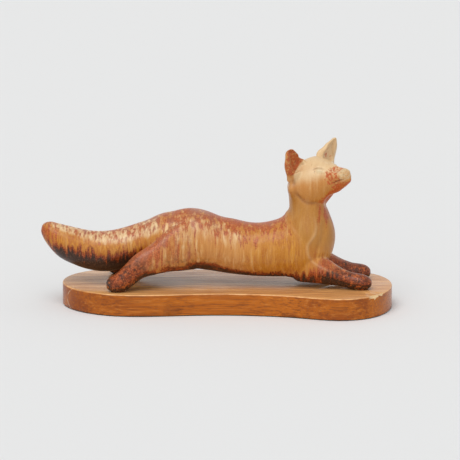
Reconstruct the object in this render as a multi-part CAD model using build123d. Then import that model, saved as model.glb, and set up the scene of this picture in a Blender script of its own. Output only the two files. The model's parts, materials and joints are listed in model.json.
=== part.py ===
from build123d import *
import os

os.makedirs("parts", exist_ok=True)

# A hollow glazed stoneware fox lying stretched out on a free-form wooden board.
# Frame: the origin is the centre of the resting underside, +X runs towards the fox's
# forepaws, +Y away from its right side, +Z up. All lengths are millimetres.

# Board and felt
board_thickness = 19.0
board_rear_margin = 39.5
board_front_margin = 18.5
board_side_margin = 23.0
board_edge_round = 1.0
felt_thickness = 1.0
felt_inset = 2.0

# Trunk, tail and neck, which are one smooth skin cut into three luted sections
trunk_length = 156.0
back_height = 67.0
body_width = 54.0
tail_length = 106.0
tail_width = 36.0
neck_height = 95.0
fox_offset = 2.0
chest_sway = 5.5
clay_wall = 7.0
solid_tail_rows = 4
solid_nape_rows = 2
vent_diameter = 3.0

# Head, turned towards the fox's right and tilted up
head_length = 58.0
head_width = 48.0
head_height = 46.0
head_forward = 8.0
head_lift = 11.0
head_turn = 45.0
head_pitch = 14.0
head_roll = 4.0
solid_skull_rows = 2
solid_snout_rows = 5

# Ears
ear_height = 32.5
ear_width = 27.0
ear_depth = 11.0
ear_spread = 30.0
ear_setback = 6.0
ear_lean = 11.0

# Hind legs and forelegs
hind_leg_reach = 87.0
hind_leg_height = 62.0
hind_leg_width = 32.0
hind_stance = 69.0
foreleg_reach = 70.0
foreleg_height = 40.0
foreleg_width = 25.0
fore_stance = 40.0

# Fixings: a screw from beneath into a threaded insert cemented in each paw
screw_diameter = 4.0
screw_end_room = 0.5
thread_clearance = 0.05
screw_head_ledge = 1.75
screw_head_height = 2.6
screw_slot_width = 1.0
screw_slot_depth = 1.2
screw_clearance = 0.25
washer_ledge = 2.8
washer_thickness = 0.8
counterbore_depth = 8.0
counterbore_clearance = 0.6
insert_wall = 1.1
insert_length = 8.0
cement_gap = 0.1
socket_end_room = 1.0

# Board outline, from the right end round the front: shares of half the length and half the depth
board_outline_shares = (
    (1.0, -0.1),
    (0.965, -0.6),
    (0.87, -0.96),
    (0.69, -1.14),
    (0.44, -0.98),
    (0.18, -0.83),
    (-0.1, -0.79),
    (-0.4, -0.86),
    (-0.7, -0.83),
    (-0.9, -0.53),
    (-1.0, -0.02),
    (-0.95, 0.5),
    (-0.8, 0.82),
    (-0.45, 0.9),
    (0.0, 0.82),
    (0.45, 0.84),
    (0.76, 0.76),
    (0.93, 0.45),
)

# Tail sections from the tip to the root: (back x, back z, belly x, belly z, half width)
# x in shares of the tail length behind the root, z of the back height, width of the tail width
tail_shares = (
    (0.99, 0.77, 0.998, 0.695, 0.08),
    (0.965, 0.81, 0.985, 0.64, 0.175),
    (0.92, 0.827, 0.955, 0.55, 0.28),
    (0.855, 0.805, 0.895, 0.44, 0.37),
    (0.77, 0.77, 0.81, 0.335, 0.435),
    (0.67, 0.73, 0.71, 0.245, 0.475),
    (0.56, 0.7, 0.58, 0.18, 0.495),
    (0.44, 0.7, 0.44, 0.16, 0.5),
    (0.32, 0.73, 0.285, 0.2, 0.495),
    (0.21, 0.785, 0.16, 0.26, 0.505),
    (0.1, 0.86, 0.055, 0.305, 0.545),
)

# Trunk sections from the tail root to the chest: (back x, back z, belly x, belly z, half width, sway)
# x in shares of the trunk length, z of the back height, width of the body width, sway of the chest sway
trunk_shares = (
    (0.0, 0.93, 0.04, 0.3, 0.41, 0.0),
    (0.07, 0.965, 0.09, 0.24, 0.455, 0.0),
    (0.15, 0.995, 0.155, 0.21, 0.49, 0.0),
    (0.23, 1.0, 0.23, 0.195, 0.5, 0.1),
    (0.32, 0.925, 0.32, 0.17, 0.49, 0.3),
    (0.41, 0.875, 0.41, 0.14, 0.47, 0.5),
    (0.5, 0.83, 0.5, 0.12, 0.465, 0.65),
    (0.58, 0.825, 0.6, 0.11, 0.465, 0.8),
    (0.65, 0.86, 0.72, 0.11, 0.48, 0.9),
    (0.69, 0.9, 0.84, 0.125, 0.485, 1.0),
)

# Neck sections from the chest to the head: (nape x, nape z, breast x, breast z, half width)
# x in shares of the trunk length, z of the neck height, width of the body width
neck_shares = (
    (0.715, 0.675, 0.925, 0.165, 0.48),
    (0.73, 0.71, 0.975, 0.275, 0.465),
    (0.737, 0.76, 0.997, 0.41, 0.43),
    (0.735, 0.81, 0.995, 0.53, 0.39),
    (0.732, 0.86, 0.975, 0.635, 0.365),
    (0.728, 0.905, 0.957, 0.72, 0.345),
    (0.727, 0.95, 0.95, 0.81, 0.335),
    (0.737, 0.99, 0.93, 0.92, 0.3),
    (0.765, 1.02, 0.885, 0.99, 0.21),
)

# Head sections from the back of the skull to the nose: (along, half width, top, bottom)
head_shares = (
    (0.0, 0.09, 0.12, -0.12),
    (0.04, 0.24, 0.23, -0.25),
    (0.13, 0.39, 0.34, -0.41),
    (0.26, 0.49, 0.42, -0.53),
    (0.4, 0.5, 0.435, -0.55),
    (0.52, 0.44, 0.4, -0.465),
    (0.63, 0.335, 0.34, -0.35),
    (0.73, 0.24, 0.275, -0.27),
    (0.83, 0.185, 0.235, -0.215),
    (0.915, 0.165, 0.22, -0.16),
    (0.97, 0.135, 0.2, -0.12),
    (1.0, 0.08, 0.14, -0.06),
)
skull_centre_share = 0.375

# Ear sections from the root to the tip: (height, distance out, half width, half depth)
ear_shares = (
    (0.14, 0.64, 0.36, 0.5),
    (0.37, 0.66, 0.47, 0.5),
    (0.57, 0.71, 0.48, 0.45),
    (0.74, 0.78, 0.39, 0.38),
    (0.89, 0.87, 0.255, 0.28),
    (0.97, 0.93, 0.15, 0.2),
    (1.0, 0.95, 0.06, 0.1),
)
ear_cup_width_share = 0.68
ear_cup_depth_share = 0.85
ear_cup_shift_share = 0.85

# Hind leg sections from the hip to the paw: (along, distance out, top, bottom, half width)
hind_leg_shares = (
    (0.0, 0.23, 0.97, 0.26, 0.485),
    (0.14, 0.36, 0.985, 0.24, 0.485),
    (0.27, 0.49, 0.945, 0.25, 0.45),
    (0.37, 0.595, 0.865, 0.26, 0.405),
    (0.46, 0.695, 0.76, 0.255, 0.36),
    (0.55, 0.78, 0.66, 0.225, 0.33),
    (0.64, 0.86, 0.585, 0.17, 0.305),
    (0.73, 0.93, 0.5, 0.08, 0.29),
    (0.82, 0.975, 0.37, 0.0, 0.28),
    (0.9, 1.0, 0.268, -0.016, 0.275),
    (0.96, 1.0, 0.21, 0.01, 0.22),
    (1.0, 1.0, 0.15, 0.06, 0.095),
)
hip_place_share = 0.256
hind_paw_place_share = 0.88

# Foreleg sections from the shoulder to the paw: (along, distance out, top, bottom, half width)
foreleg_shares = (
    (0.0, 0.4, 0.95, 0.275, 0.3),
    (0.14, 0.575, 0.925, 0.12, 0.42),
    (0.28, 0.66, 0.81, 0.1, 0.46),
    (0.42, 0.74, 0.675, 0.085, 0.42),
    (0.56, 0.83, 0.525, 0.065, 0.36),
    (0.7, 0.92, 0.4, 0.02, 0.33),
    (0.83, 0.98, 0.35, -0.025, 0.345),
    (0.93, 1.01, 0.31, -0.005, 0.3),
    (0.98, 1.02, 0.25, 0.05, 0.2),
    (1.0, 1.02, 0.2, 0.1, 0.1),
)
shoulder_place_share = 0.756
fore_paw_place_share = 0.815

# Places that follow from the sizes
board_top = felt_thickness + board_thickness
hip_reach = hip_place_share * trunk_length
shoulder_reach = shoulder_place_share * trunk_length
board_rear = board_rear_margin + hind_leg_reach - hip_reach
board_length = board_rear + shoulder_reach + foreleg_reach + board_front_margin
board_depth = hind_stance + 2 * board_side_margin
trunk_start = board_rear - board_length / 2
hip_x = trunk_start + hip_reach
shoulder_x = trunk_start + shoulder_reach
across = Vector(0, 1, 0)
forward = Vector(1, 0, 0)
upward = Vector(0, 0, 1)
sides = {"right": -1, "left": 1}


def oval(top, bottom, half_width, wall=0, width_way=across):
    """One section of a form, from its highest to its lowest point, drawn in by the wall."""
    rise = top - bottom
    plane = Plane(origin=(top + bottom) / 2, x_dir=width_way, z_dir=width_way.cross(rise))
    return plane * Ellipse(half_width - wall, rise.length / 2 - wall)


def above_board(x, y, height):
    """A point of the fox, whose height is measured from the top of the board."""
    return Vector(x, y, board_top + height)


def largest(shape):
    """The piece itself, without crumbs that a cut may leave."""
    return max(shape.solids(), key=lambda solid: solid.volume)


def tail_sections():
    """The tail's sections, from the tip to the root: highest point, lowest point, half width."""
    sections = []
    for back_x, back_z, belly_x, belly_z, half_width in tail_shares:
        top = above_board(trunk_start - back_x * tail_length, -fox_offset, back_z * back_height)
        bottom = above_board(trunk_start - belly_x * tail_length, -fox_offset, belly_z * back_height)
        sections.append((top, bottom, half_width * tail_width))
    return sections


def trunk_sections():
    """The trunk's sections, from the tail root to the chest."""
    sections = []
    for back_x, back_z, belly_x, belly_z, half_width, sway in trunk_shares:
        y = -fox_offset - sway * chest_sway
        top = above_board(trunk_start + back_x * trunk_length, y, back_z * back_height)
        bottom = above_board(trunk_start + belly_x * trunk_length, y, belly_z * back_height)
        sections.append((top, bottom, half_width * body_width))
    return sections


def neck_sections():
    """The neck's sections, from the chest to the head."""
    sections = []
    y = -fox_offset - chest_sway
    for nape_x, nape_z, breast_x, breast_z, half_width in neck_shares:
        top = above_board(trunk_start + nape_x * trunk_length, y, nape_z * neck_height)
        bottom = above_board(trunk_start + breast_x * trunk_length, y, breast_z * neck_height)
        sections.append((top, bottom, half_width * body_width))
    return sections


def skin_of(sections):
    """The outside of a hollow form."""
    return loft([oval(*section) for section in sections])


def core_of(sections):
    """The room inside a hollow form, within its clay wall."""
    return loft([oval(*section, wall=clay_wall) for section in sections])


def make_head_frame():
    """The head's own frame: x to the nose, y to the left ear, z to the crown."""
    nape, breast, _ = neck_sections()[-1 - solid_nape_rows]
    centre = (nape + breast) / 2 + Vector(head_forward, 0, head_lift)
    nose_way = forward.rotate(Axis.Y, -head_pitch).rotate(Axis.Z, -head_turn)
    crown_way = upward.rotate(Axis.X, head_roll).rotate(Axis.Y, -head_pitch).rotate(Axis.Z, -head_turn)
    return Plane(origin=centre, x_dir=nose_way, z_dir=crown_way)


def head_sections():
    """The head's sections, from the back of the skull to the nose."""
    sections = []
    for along, half_width, top, bottom in head_shares:
        x = (along - skull_centre_share) * head_length
        highest = head_frame.from_local_coords(Vector(x, 0, top * head_height))
        lowest = head_frame.from_local_coords(Vector(x, 0, bottom * head_height))
        sections.append((highest, lowest, half_width * head_width))
    return sections


def make_ear(side):
    """A cupped ear that stands on a corner of the head and opens forwards."""
    shell = []
    cup = []
    for height, out, half_width, half_depth in ear_shares:
        for rings, width_share, depth_share, shift_share in (
            (shell, 1, 1, 0),
            (cup, ear_cup_width_share, ear_cup_depth_share, ear_cup_shift_share),
        ):
            half_thickness = half_depth * ear_depth * depth_share
            middle = shift_share * half_depth * ear_depth + height * ear_lean - ear_setback
            y = side * out * ear_spread
            z = height * ear_height
            front = head_frame.from_local_coords(Vector(middle + half_thickness, y, z))
            back = head_frame.from_local_coords(Vector(middle - half_thickness, y, z))
            half = half_width * ear_width * width_share
            rings.append(oval(front, back, half, width_way=head_frame.y_dir))
    return largest(loft(shell) - loft(cup[1:-1]) - head_skin)


def make_leg(shares, root_x, way, reach, height, width, centre_y, half_stance):
    """A leg that grows out of the body, with its sole cut flat on the board."""
    rings = []
    for along, out, top, bottom, half_width in shares:
        x = root_x + way * along * reach
        y = centre_y + out * half_stance
        highest = above_board(x, y, top * height)
        lowest = above_board(x, y, bottom * height)
        rings.append(oval(highest, lowest, half_width * width))
    leg = loft(rings) - trunk_skin - tail_skin - neck_skin
    return split(leg, bisect_by=board_top_plane, keep=Keep.TOP)


def post(x, y, bottom, top, radius):
    """An upright round post or hole between two heights."""
    return Pos(x, y, bottom) * Cylinder(radius, top - bottom, align=(Align.CENTER, Align.CENTER, Align.MIN))


def board_outline(inset):
    """The face of the board's outline, drawn in by the inset."""
    half_length = board_length / 2 - inset
    half_depth = board_depth / 2 - inset
    points = [Vector(x * half_length, y * half_depth) for x, y in board_outline_shares]
    return make_face(Spline(*points, periodic=True))


board_top_plane = Plane(origin=(0, 0, board_top))
parts = {}

# Body: three hollow sections that meet face to face at the tail root and at the chest
tail_rows = tail_sections()
trunk_rows = trunk_sections()
neck_rows = neck_sections()
tail_skin = skin_of(tail_rows + trunk_rows[:1])
trunk_skin = skin_of(trunk_rows + neck_rows[:1])
neck_skin = skin_of(neck_rows)
tail_core = core_of(tail_rows[solid_tail_rows:] + trunk_rows[:1])
trunk_core = core_of(trunk_rows + neck_rows[:1])
neck_core = core_of(neck_rows[:-solid_nape_rows])
vent_x = trunk_start + trunk_length / 2
vent_y = -fox_offset - chest_sway / 2
vent = post(vent_x, vent_y, board_top, board_top + back_height / 2, vent_diameter / 2)

# Head, which closes the top of the neck
head_frame = make_head_frame()
head_skin = loft([oval(*row, width_way=head_frame.y_dir) for row in head_sections()])
hollow_rows = head_sections()[solid_skull_rows:-solid_snout_rows]
head_core = loft([oval(*row, wall=clay_wall, width_way=head_frame.y_dir) for row in hollow_rows])
parts["tail"] = tail_skin - tail_core
parts["torso"] = trunk_skin - trunk_core - vent
parts["neck"] = neck_skin - neck_core - head_skin
parts["head"] = head_skin - head_core - neck_core
for name, side in sides.items():
    parts[name + "_ear"] = make_ear(side)

# Legs, and the place of each paw with the leg it belongs to
hind_y = -fox_offset
fore_y = -fox_offset - chest_sway
paws = {}
for name, side in sides.items():
    hind_leg = make_leg(
        hind_leg_shares, hip_x, -1, hind_leg_reach, hind_leg_height, hind_leg_width, hind_y, side * hind_stance / 2
    )
    foreleg = make_leg(
        foreleg_shares, shoulder_x, 1, foreleg_reach, foreleg_height, foreleg_width, fore_y, side * fore_stance / 2
    )
    parts[name + "_hind_leg"] = hind_leg
    parts[name + "_foreleg"] = foreleg
    hind_paw_x = hip_x - hind_paw_place_share * hind_leg_reach
    forepaw_x = shoulder_x + fore_paw_place_share * foreleg_reach
    paws[name + "_hind_paw"] = (name + "_hind_leg", hind_paw_x, hind_y + side * hind_stance / 2)
    paws[name + "_forepaw"] = (name + "_foreleg", forepaw_x, fore_y + side * fore_stance / 2)

# Fixings
seat_height = felt_thickness + counterbore_depth
screw_hole_radius = screw_diameter / 2 + screw_clearance
insert_bore_radius = screw_diameter / 2 + thread_clearance
insert_radius = insert_bore_radius + insert_wall
socket_radius = insert_radius + cement_gap
washer_radius = screw_diameter / 2 + washer_ledge
screw_head_radius = screw_diameter / 2 + screw_head_ledge
screw_end = board_top + insert_length - screw_end_room
socket_end = board_top + insert_length + socket_end_room
head_seat = seat_height - washer_thickness
head_end = head_seat - screw_head_height
board = extrude(Pos(0, 0, felt_thickness) * board_outline(0), board_thickness)
board = fillet(board.edges().group_by(Axis.Z)[-1], board_edge_round)
for name, (leg_name, x, y) in paws.items():
    parts[leg_name] = largest(parts[leg_name] - post(x, y, 0, socket_end, socket_radius))
    board -= post(x, y, 0, board_top, screw_hole_radius)
    board -= post(x, y, 0, seat_height, washer_radius + counterbore_clearance)
    insert = post(x, y, board_top, board_top + insert_length, insert_radius)
    parts[name + "_insert"] = insert - post(x, y, 0, board_top + insert_length, insert_bore_radius)
    washer = post(x, y, head_seat, seat_height, washer_radius)
    parts[name + "_washer"] = washer - post(x, y, 0, seat_height, screw_hole_radius)
    screw = post(x, y, head_end, head_seat, screw_head_radius)
    screw += post(x, y, head_seat, screw_end, screw_diameter / 2)
    slot = Pos(x, y, head_end) * Box(2 * screw_head_radius, screw_slot_width, 2 * screw_slot_depth)
    parts[name + "_screw"] = screw - slot

parts["base_board"] = board
parts["base_felt"] = extrude(board_outline(felt_inset), felt_thickness)

for name, part in parts.items():
    part = largest(part)
    part.label = name
    export_step(part, "parts/" + name + ".step")
    print(name, round(part.volume), part.is_valid)
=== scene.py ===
# %% [markdown]
# # A glazed fox on a wooden board
#
# The object is a small pottery fox, lying stretched out, screwed to a shaped board.
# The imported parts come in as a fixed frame. This lesson dresses them: it turns the ten
# clay parts into one soft glazed skin, gives the board its grain and worn edge, and
# sets up a plain studio. Blender counts in metres, so `mm` helps to read the lengths.

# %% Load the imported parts
import json
import math

import bpy
import numpy as np
from mathutils import Matrix, Vector
from mathutils.bvhtree import BVHTree

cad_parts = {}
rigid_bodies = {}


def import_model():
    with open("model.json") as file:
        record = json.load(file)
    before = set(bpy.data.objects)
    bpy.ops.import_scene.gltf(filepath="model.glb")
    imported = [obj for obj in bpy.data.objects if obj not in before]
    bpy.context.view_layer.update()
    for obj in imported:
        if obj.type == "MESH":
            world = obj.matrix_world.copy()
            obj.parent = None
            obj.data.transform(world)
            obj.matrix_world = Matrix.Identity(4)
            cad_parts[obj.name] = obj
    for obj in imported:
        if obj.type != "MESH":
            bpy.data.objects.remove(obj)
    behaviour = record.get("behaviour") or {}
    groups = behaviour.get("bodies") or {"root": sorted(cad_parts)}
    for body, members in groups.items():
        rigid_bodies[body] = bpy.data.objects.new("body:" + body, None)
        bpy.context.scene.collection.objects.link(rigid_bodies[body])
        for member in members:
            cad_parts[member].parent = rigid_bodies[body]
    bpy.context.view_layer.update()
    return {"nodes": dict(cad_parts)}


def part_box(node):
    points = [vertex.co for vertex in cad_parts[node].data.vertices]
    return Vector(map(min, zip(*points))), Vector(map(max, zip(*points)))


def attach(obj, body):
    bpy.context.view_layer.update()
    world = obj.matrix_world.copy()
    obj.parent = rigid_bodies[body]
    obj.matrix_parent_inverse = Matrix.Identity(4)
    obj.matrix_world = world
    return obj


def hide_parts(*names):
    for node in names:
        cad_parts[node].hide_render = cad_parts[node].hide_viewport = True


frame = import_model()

mm = 0.001
nodes = frame["nodes"]

# %% [markdown]
# ## Helpers for working as by hand
#
# An operator acts on everything that is selected, and the imported parts start out
# selected. So each step picks exactly what it works on.

# %% Pick, edit and apply
print("selected after loading:", len(bpy.context.selected_objects))


def pick(*things):
    """Selects these objects alone, and makes the first one active."""
    bpy.ops.object.select_all(action="DESELECT")
    for thing in things:
        thing.select_set(True)
    bpy.context.view_layer.objects.active = things[0]


def edit(thing, select="SELECT"):
    """Opens an object in edit mode, with all of its mesh selected, or none of it."""
    pick(thing)
    bpy.ops.object.mode_set(mode="EDIT")
    bpy.ops.mesh.select_all(action=select)


def done():
    bpy.ops.object.mode_set(mode="OBJECT")


def apply_modifier(thing, kind, **settings):
    pick(thing)
    bpy.ops.object.modifier_add(type=kind)
    modifier = thing.modifiers[-1]
    for key, value in settings.items():
        setattr(modifier, key, value)
    bpy.ops.object.modifier_apply(modifier=modifier.name)


# %% [markdown]
# ## The camera
#
# The picture was taken from in front, a little above, with hardly any perspective. The
# camera stands 5 m away and looks down 13 degrees, and a long lens then shows 409 mm at
# the fox. It comes first, because every later step is judged through it.

# %% Place the camera
camera_distance = 5000 * mm
camera_elevation = math.radians(13)
camera_aim = Vector((2.4 * mm, 0, 67.4 * mm))
lens_length = 440
sensor_width = 36
camera_offset = Vector((0, -math.cos(camera_elevation), math.sin(camera_elevation)))
bpy.ops.object.camera_add(location=camera_aim + camera_distance * camera_offset)
camera = bpy.context.object
camera.name = "studio_camera"
camera.rotation_euler = (math.radians(90) - camera_elevation, 0, 0)
camera.data.lens = lens_length
camera.data.sensor_width = sensor_width
camera.data.clip_start = 10 * mm
camera.data.clip_end = 100
bpy.context.scene.camera = camera
print("seen across the fox:", round(camera_distance / mm * sensor_width / lens_length), "mm")

# %% [markdown]
# ## One clay skin from ten parts
#
# A potter makes the fox in pieces and rubs the joints smooth with wet clay. The same
# happens here: the ten clay parts are copied, joined and remeshed into one closed skin,
# which swallows the walls inside, and a smoothing pass rubs the joints. The vent under
# the belly is plugged first, or the remesh would follow it into the hollow body.

# %% Copy the clay parts
clay_names = [
    "tail", "torso", "neck", "head", "right_ear", "left_ear",
    "right_hind_leg", "left_hind_leg", "right_foreleg", "left_foreleg",
]
weld_gap = 0.01 * mm


def copy_of(name):
    """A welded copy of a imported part. The part itself stays as it is."""
    node = nodes[name]
    copy = bpy.data.objects.new(name + "_copy", node.data.copy())
    bpy.context.scene.collection.objects.link(copy)
    copy.data.transform(node.matrix_world)
    copy.data.materials.clear()
    edit(copy)
    bpy.ops.mesh.remove_doubles(threshold=weld_gap)
    done()
    return copy


copies = [copy_of(name) for name in clay_names]
print("clay parts copied:", len(copies))

# %% Remember whose face lies where
owner_points = []
owner_faces = []
owner_of_face = []
for index, copy in enumerate(copies):
    first = len(owner_points)
    owner_points += [vertex.co.copy() for vertex in copy.data.vertices]
    owner_faces += [[first + corner for corner in face.vertices] for face in copy.data.polygons]
    owner_of_face += [index] * len(copy.data.polygons)
owner_tree = BVHTree.FromPolygons(owner_points, owner_faces)
owner_of_face = np.array(owner_of_face)
print("clay faces:", len(owner_faces))

# %% [markdown]
# The head looks up and to its right, so places on the face are given in the head's own
# frame: forward along the nose, then towards the left ear, then up to the crown.
# The snout ends in a flat, slightly wider nose pad with a rounded rim. It is easiest to
# add as a pressed lump of clay before the remesh joins everything.

# %% The head's own frame
head_origin = Vector((78.8, -7.5, 114.6)) * mm
head_turned = math.radians(-45)
head_raised = math.radians(-14)
head_tilted = math.radians(4)
turn = Matrix.Rotation(head_turned, 3, "Z")
pitch = Matrix.Rotation(head_raised, 3, "Y")
roll = Matrix.Rotation(head_tilted, 3, "X")
head_nose = turn @ pitch @ Vector((1, 0, 0))
head_crown = turn @ pitch @ roll @ Vector((0, 0, 1))
head_left = head_crown.cross(head_nose)
head_axes = Matrix((head_nose, head_left, head_crown)).transposed()


def in_head(forward, left, up):
    return head_origin + head_axes @ Vector((forward, left, up)) * mm


print("the nose points along", [round(share, 2) for share in head_nose])

# %% Plug the vent
vent_place = (18 * mm, -4.75 * mm, 39 * mm)
vent_radius = 2 * mm
plug_length = 12 * mm
bpy.ops.object.select_all(action="DESELECT")
bpy.ops.mesh.primitive_cylinder_add(vertices=24, radius=vent_radius, depth=plug_length, location=vent_place)
vent_plug = bpy.context.object
print("plug corners:", len(vent_plug.data.vertices))

# %% Press on the nose pad
pad_place = in_head(32.6, 0, 2)
pad_half_size = (4.2 * mm, 6.4 * mm, 4.5 * mm)
pad_rounding = 2.8 * mm
bpy.ops.object.select_all(action="DESELECT")
bpy.ops.mesh.primitive_cube_add(size=2, location=pad_place)
nose_lump = bpy.context.object
nose_lump.rotation_euler = head_axes.to_euler()
nose_lump.scale = pad_half_size
bpy.ops.object.transform_apply(location=False, rotation=True, scale=True)
edit(nose_lump)
bpy.ops.mesh.bevel(offset=pad_rounding, segments=5, affect="EDGES", clamp_overlap=True)
done()
print("nose pad faces:", len(nose_lump.data.polygons))

# %% Join everything and remesh it into one skin
skin_voxel = 0.65 * mm
pick(copies[0], *copies[1:], vent_plug, nose_lump)
bpy.ops.object.join()
skin = bpy.context.object
bpy.ops.object.transform_apply(location=True, rotation=True, scale=True)
apply_modifier(skin, "REMESH", mode="VOXEL", voxel_size=skin_voxel, adaptivity=0)
edit(skin)
bpy.ops.mesh.separate(type="LOOSE")
done()
lumps = sorted(bpy.context.selected_objects, key=lambda lump: len(lump.data.vertices))
skin = lumps[-1]
for lump in lumps[:-1]:
    bpy.data.objects.remove(lump)
skin.name = "fox_skin"
print("skin vertices:", len(skin.data.vertices), "loose lumps dropped:", len(lumps) - 1)

# %% [markdown]
# ## Thumbs and rubbing
#
# The clay is first pulled a little here and there, as a thumb does, until the outline
# matches. Then the smooth modifier moves each point towards its neighbours. The ears
# and the nose are thin or crisp, so a vertex group holds the smoothing back there, and a
# second, longer rub works only on the roots of the ears. The soles stay flat, because
# they sit on the board.

# %% Points as arrays
def points_of(thing):
    values = np.empty(len(thing.data.vertices) * 3)
    thing.data.vertices.foreach_get("co", values)
    return values.reshape(-1, 3)


def normals_of(thing):
    values = np.empty(len(thing.data.vertices) * 3)
    thing.data.vertex_normals.foreach_get("vector", values)
    return values.reshape(-1, 3)


def set_points(thing, points):
    thing.data.vertices.foreach_set("co", points.reshape(-1))
    thing.data.update()


def local_to_head(points):
    return (points - np.array(head_origin)) @ np.array(head_axes) / mm


print("skin points:", points_of(skin).shape)


# %% Pull the clay as a thumb does: place, reach and move in millimetres
def pull(thing, place, reach, move):
    """Drags the clay near a place, fading out at the reach."""
    points = points_of(thing)
    gap = np.linalg.norm(points / mm - place, axis=1) / reach
    hold = np.clip(1 - gap * gap, 0, 1) ** 2
    set_points(thing, points + hold[:, None] * np.array(move) * mm)


thumb_moves = [
    ((54, -30.5, 137), 17, (-0.4, 0, 0)),
    ((53, -31, 145), 8, (-1, 0, 0)),
    ((57, -29.5, 147), 8, (0.5, 0, 1.8)),
    ((61.5, -20, 135.5), 11, (-2.6, 0, -0.5)),
    ((63, -18.5, 133), 8, (-1, 0, -0.2)),
    ((66.5, -17.5, 136.5), 7, (-1.6, 0, -0.8)),
    ((54.4, -28, 125), 10, (0.5, 0, 0)),
    ((57, -20, 110), 15, (-1.6, 0, 0)),
    ((56, -20, 112), 9, (-1, -5, 0)),
    ((54.5, -20, 107), 11, (-0.3, -4.2, 0)),
    ((55, -27.5, 118), 7, (0.3, 2.2, 0)),
    ((95, 12.5, 142), 13, (-1.8, 0, -0.8)),
    ((95, 12, 149), 6, (0, 0, -0.8)),
    ((97.5, 14, 131), 12, (-3.4, 0, 0)),
    ((83, 6, 136), 9, (-1.2, 0, 0.4)),
    ((91, 11, 146.5), 6, (1.4, 0, -0.4)),
    ((80.5, 0, 137.5), 9, (-1.8, 0, 0.8)),
    ((75, -8, 134), 13, (0, 0, 1)),
    ((99, -31, 131), 11, (0, 0, -3.2)),
    ((95.5, -27, 131), 8, (-0.6, 0, -2.8)),
    ((108, -33, 123), 17, (1.7, -0.4, 0)),
    ((106, -31, 129.5), 8, (1, 0, 0.6)),
    ((106, -31, 117), 10, (2.2, -0.2, -0.4)),
    ((99, -27, 109), 13, (1.4, 0, -1.6)),
    ((95, -12, 100), 15, (-4.8, 0, 1.2)),
    ((92, -6, 101), 15, (-5, 0, 1.2)),
    ((-148.7, -2, 44), 16, (-0.6, 0, -1)),
    ((-88, -2, 71), 22, (0, 0, 0.6)),
    ((-71, -2, 81), 13, (0, 0, -1)),
    ((-57, -2, 85), 14, (0, 0, -0.7)),
    ((-39, -2, 88), 12, (0, 0, 0.8)),
    ((-22, -2, 88), 13, (0, 0, -0.9)),
    ((-60, -32, 38), 18, (0, 0, -2)),
    ((-60, 17, 38), 18, (0, 0, -2)),
    ((-44, -27, 38), 16, (0, 0, -1.2)),
    ((-44, 12, 38), 16, (0, 0, -1.2)),
    ((60, -24, 30), 13, (-2, 0, -2.4)),
    ((60, 9, 30), 13, (-2, 0, -2.4)),
]
for place, reach, move in thumb_moves:
    pull(skin, place, reach, move)
print("thumb pulls:", len(thumb_moves))


# %% Helpers that fade and paint
def rise(low, high, values):
    """0 up to low and 1 from high on, smooth between. With low above high it falls."""
    share = np.clip((values - low) / (high - low), 0, 1)
    return share * share * (3 - 2 * share)


def paint_group(thing, name, weights, shades=20):
    """Paints a vertex group in a few even shades, which is quick on a large mesh."""
    group = thing.vertex_groups.new(name=name)
    steps = np.round(weights * shades).astype(int)
    for step in range(1, shades + 1):
        group.add(np.nonzero(steps == step)[0].tolist(), step / shades, "REPLACE")


print("a quarter up a fade:", rise(0, 1, 0.25))

# %% Rub the joints, and the roots of the ears for longer
soft_rounds = 14
ear_hold = 0.85
nose_hold = 0.7
ear_root = (-3, 28, 4)
ear_root_reach = 7.5
ear_root_rounds = 130

head_place = local_to_head(points_of(skin))
ear_share = rise(14, 19, head_place[:, 2])
nose_share = rise(27, 30, head_place[:, 0])
paint_group(skin, "soft", 1 - ear_hold * np.maximum(ear_share, nose_hold * nose_share))
apply_modifier(skin, "SMOOTH", factor=0.5, iterations=soft_rounds, vertex_group="soft")

head_place[:, 1] = np.abs(head_place[:, 1])
from_ear_root = np.linalg.norm(head_place - ear_root, axis=1)
paint_group(skin, "ear_roots", np.exp(-((from_ear_root / ear_root_reach) ** 2)))
apply_modifier(skin, "SMOOTH", factor=0.5, iterations=ear_root_rounds, vertex_group="ear_roots")
print("points rubbed at the ear roots:", int((from_ear_root < ear_root_reach).sum()))

# %% Seat the soles on the board
board_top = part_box("base_board")[1][2]
sole_reach = 0.45 * mm
points = points_of(skin)
sole = points[:, 2] < board_top + sole_reach
points[sole, 2] = board_top
set_points(skin, points)
print("sole points seated:", int(sole.sum()))

# %% [markdown]
# ## Pinched ridges and drawn lines
#
# The potter pinched a ridge down the front of the neck and along each foreleg, and drew
# the closed eyes and the mouth with a tool. Both are made in one way: the points near a
# line are moved out or in along their normals, fading with the distance from the line.
# The same tool notes where glaze thins on a ridge or pools in a groove.

# %% Smooth lines and the distance to them
def smooth_line(corners, steps=6):
    """A smooth line through the corners, with a few points from each to the next."""
    corners = np.array(corners, dtype=float)
    padded = np.vstack([2 * corners[0] - corners[1], corners, 2 * corners[-1] - corners[-2]])
    line = []
    for before, start, end, after in zip(padded, padded[1:], padded[2:], padded[3:]):
        for step in range(steps):
            t = step / steps
            line.append(0.5 * (
                2 * start + (end - before) * t + (2 * before - 5 * start + 4 * end - after) * t * t
                + (3 * start - before - 3 * end + after) * t ** 3
            ))
    line.append(corners[-1])
    return np.array(line)


def distance_to(line, points):
    """The distance to a line, and how far along it the nearest place is, from 0 to 1."""
    nearest = np.full(len(points), np.inf)
    along = np.zeros(len(points))
    count = len(line) - 1
    for index in range(count):
        start = line[index]
        way = line[index + 1] - start
        share = np.clip(((points - start) @ way) / max(way @ way, 1e-18), 0, 1)
        gap = np.linalg.norm(points - start - share[:, None] * way, axis=1)
        closer = gap < nearest
        nearest[closer] = gap[closer]
        along[closer] = (index + share[closer]) / count
    return nearest, along


print("points from corner to corner:", len(smooth_line([(0, 0, 0), (0, 0, 1)])) - 1)

# %% The pinching and drawing tool
thin_glaze = np.zeros(len(skin.data.vertices))
pooled_glaze = np.zeros(len(skin.data.vertices))


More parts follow.
